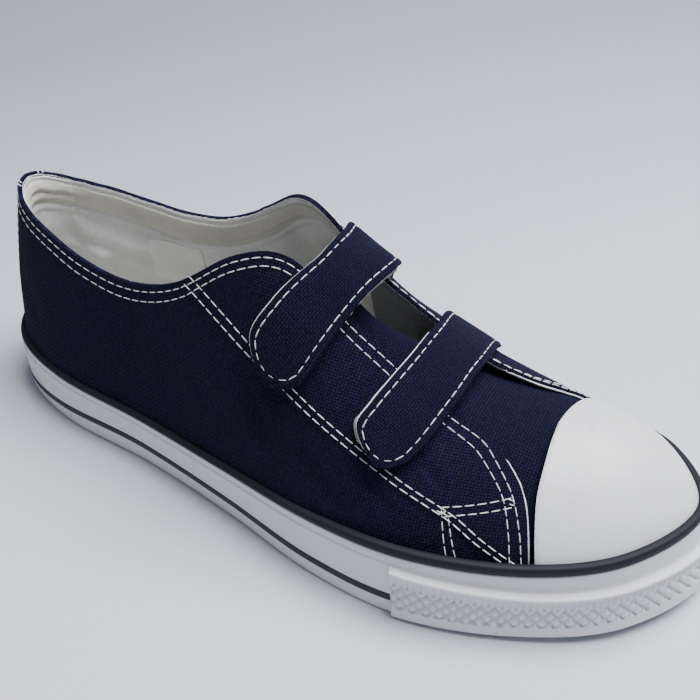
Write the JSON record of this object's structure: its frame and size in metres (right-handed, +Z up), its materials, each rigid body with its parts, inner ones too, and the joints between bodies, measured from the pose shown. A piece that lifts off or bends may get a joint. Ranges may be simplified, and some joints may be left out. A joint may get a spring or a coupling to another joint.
{
  "type": "canvas sneaker",
  "caption": "Low canvas sneaker for the right foot, with hook-and-loop straps over the instep, a rubber toe cap and a rubber side band on a flat sole.",
  "frame": {"origin": "on the floor under the middle of the shoe's box, where heel and forefoot tread rest on z = 0", "axes": "+X from the heel to the toe, +Y to the inner side of the foot, +Z up"},
  "size_m": [0.2539, 0.0959, 0.0875],
  "materials": {
    "sole_rubber": "matte moulded white rubber",
    "band_rubber": "satin white vulcanised rubber",
    "stripe_rubber": "satin near-black navy rubber",
    "bumper_rubber": "textured white rubber",
    "cap_rubber": "smooth satin white rubber",
    "insole_cotton": "off-white cotton over foam",
    "canvas": "navy plain-weave cotton canvas",
    "tongue_canvas": "navy plain-weave cotton canvas",
    "strap_canvas": "navy canvas strap with white edge stitching",
    "hook_and_loop": "white nylon hook-and-loop tape"
  },
  "bodies": {
    "root": {"outsole": "sole_rubber", "foxing": "band_rubber", "foxing_stripe": "stripe_rubber", "toe_bumper": "bumper_rubber", "insole": "insole_cotton", "upper": "canvas", "toe_cap": "cap_rubber", "tongue": "tongue_canvas", "strap_rear": "strap_canvas", "strap_front": "strap_canvas", "closure_rear": "hook_and_loop", "closure_front": "hook_and_loop"}
  },
  "joints": []
}
